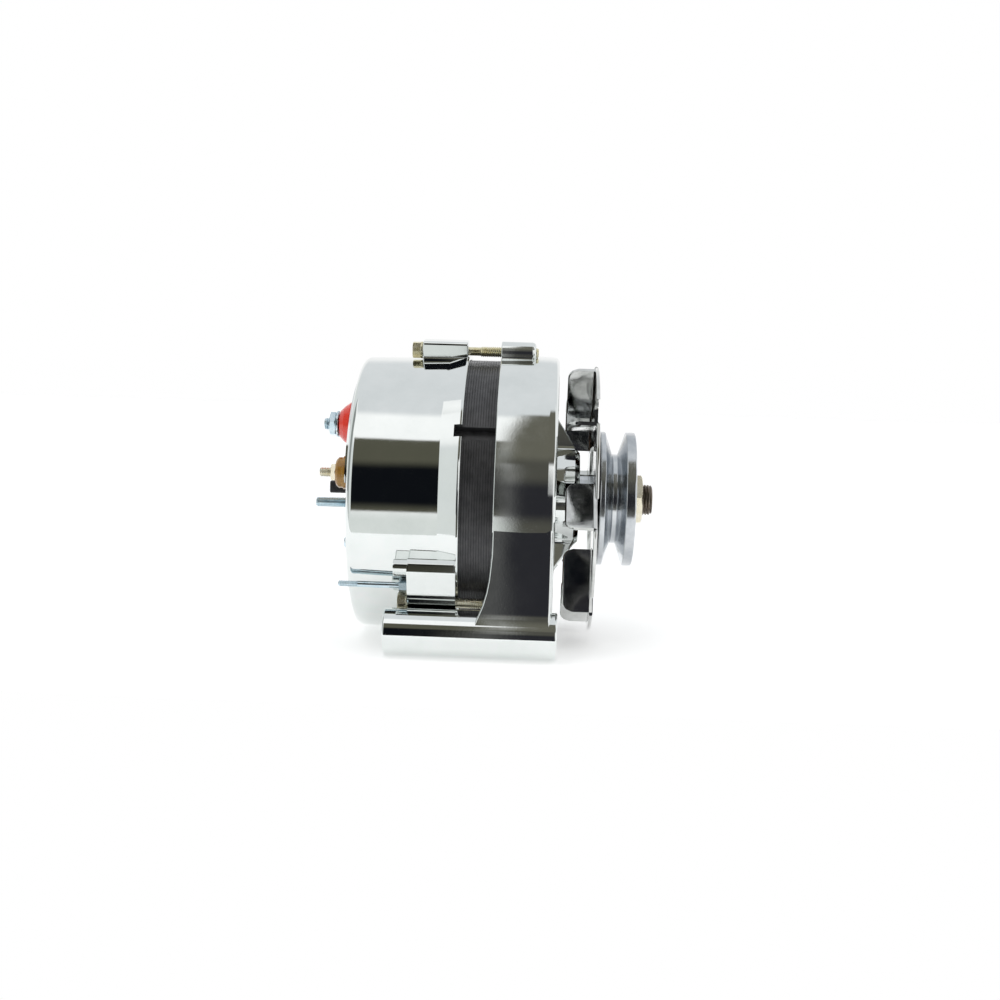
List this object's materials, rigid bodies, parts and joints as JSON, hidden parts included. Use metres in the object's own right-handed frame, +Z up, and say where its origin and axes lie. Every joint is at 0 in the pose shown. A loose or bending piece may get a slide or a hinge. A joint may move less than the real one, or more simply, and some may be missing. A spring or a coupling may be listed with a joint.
{
  "type": "car alternator",
  "caption": "Chromed car alternator with an external fan, a single V-belt pulley, an exposed laminated stator, a long pivot tube and stud terminals at the rear.",
  "frame": {"origin": "on the axis of the pivot bolt, at the front end of the pivot tube", "axes": "+X along the rotor shaft and the pivot bolt towards the pulley; +Z up as the alternator lies in the picture; -Y towards the side with the pivot tube"},
  "size_m": [0.1664, 0.1557, 0.1519],
  "materials": {
    "chrome_casting": "polished and chrome-plated cast housing, mirror bright",
    "chrome_sheet": "chrome-plated stamped sheet, slightly wavy mirror finish",
    "machined_steel": "turned steel with fine concentric tool marks, clear zinc plated",
    "shaft_steel": "dark oiled steel, ground and threaded",
    "bearing_steel": "ground bright bearing steel",
    "pole_steel": "forged iron with a thin brown varnish",
    "yellow_zinc": "pale yellow zinc plating, satin",
    "zinc_plate": "bluish bright zinc plating",
    "lamination_steel": "stacked laminations painted satin black, edges showing as fine lines",
    "copper_winding": "varnished copper wire",
    "cast_aluminium": "bare cast aluminium",
    "black_plastic": "black moulded thermoset plastic",
    "red_plastic": "bright red moulded nylon, slightly translucent",
    "amber_plastic": "amber brown phenolic, slightly glossy",
    "carbon": "copper graphite, dull dark grey",
    "spring_steel": "drawn spring wire"
  },
  "bodies": {
    "housing": {"front_housing": "chrome_casting", "rear_housing": "chrome_casting", "stator_core": "lamination_steel", "stator_winding": "copper_winding", "front_bearing_outer_race": "bearing_steel", "front_bearing_shield": "bearing_steel", "bearing_retainer": "machined_steel", "rear_bearing_shell": "bearing_steel", "long_stud": "zinc_plate", "long_stud_nut": "zinc_plate", "cover_screw": "zinc_plate", "battery_insulator": "red_plastic", "field_insulator": "amber_plastic", "battery_stud": "zinc_plate", "field_stud": "zinc_plate", "ground_stud": "zinc_plate", "battery_washer": "zinc_plate", "battery_nut": "zinc_plate", "field_nut": "zinc_plate", "ground_nut": "zinc_plate", "plug_block": "black_plastic", "plug_blade": "zinc_plate", "heat_sink_negative": "cast_aluminium", "heat_sink_positive": "cast_aluminium", "regulator": "black_plastic", "brush_holder": "black_plastic", "inner_brush_spring": "spring_steel", "outer_brush_spring": "spring_steel", "brush_holder_post_left": "zinc_plate", "brush_holder_post_right": "zinc_plate", "through_bolt_1": "yellow_zinc", "retainer_screw_1": "zinc_plate", "diode_negative_1": "bearing_steel", "diode_positive_1": "bearing_steel", "through_bolt_2": "yellow_zinc", "retainer_screw_2": "zinc_plate", "diode_negative_2": "bearing_steel", "diode_positive_2": "bearing_steel", "through_bolt_3": "yellow_zinc", "retainer_screw_3": "zinc_plate", "diode_negative_3": "bearing_steel", "diode_positive_3": "bearing_steel"},
    "rotor": {"rotor_shaft": "shaft_steel", "rear_claw_pole": "pole_steel", "front_claw_pole": "pole_steel", "field_coil": "copper_winding", "slip_ring_sleeve": "black_plastic", "slip_ring_inner": "copper_winding", "slip_ring_outer": "copper_winding", "fan_spacer": "machined_steel", "fan": "chrome_sheet", "pulley": "machined_steel", "lock_washer": "machined_steel", "pulley_nut": "yellow_zinc", "front_bearing_inner_race": "bearing_steel"},
    "ball_set": {"front_bearing_balls": "bearing_steel"},
    "roller_set": {"rear_bearing_rollers": "bearing_steel"},
    "inner_brush": {"inner_brush": "carbon"},
    "outer_brush": {"outer_brush": "carbon"}
  },
  "joints": [
    {"name": "rotor_spin", "type": "hinge", "parent": "housing", "child": "rotor", "pos_m": [0, 0.06763, 0.06089], "axis": [1, 0, 0], "continuous": true},
    {"name": "ball_set_roll", "type": "hinge", "parent": "housing", "child": "ball_set", "pos_m": [0, 0.06763, 0.06089], "axis": [1, 0, 0], "continuous": true},
    {"name": "roller_set_roll", "type": "hinge", "parent": "housing", "child": "roller_set", "pos_m": [0, 0.06763, 0.06089], "axis": [1, 0, 0], "continuous": true},
    {"name": "inner_brush_slide", "type": "slide", "parent": "housing", "child": "inner_brush", "axis": [0, 0, -1], "range_m": [0, 0.008], "stiffness_N_per_m": 150, "springref_m": -0.01, "deforming": ["inner_brush_spring"]},
    {"name": "outer_brush_slide", "type": "slide", "parent": "housing", "child": "outer_brush", "axis": [0, 0, -1], "range_m": [0, 0.008], "stiffness_N_per_m": 150, "springref_m": -0.01, "deforming": ["outer_brush_spring"]}
  ],
  "couplings": [
    {"joint": "ball_set_roll", "follows": "rotor_spin", "ratio": 0.389},
    {"joint": "roller_set_roll", "follows": "rotor_spin", "ratio": 0.442}
  ]
}
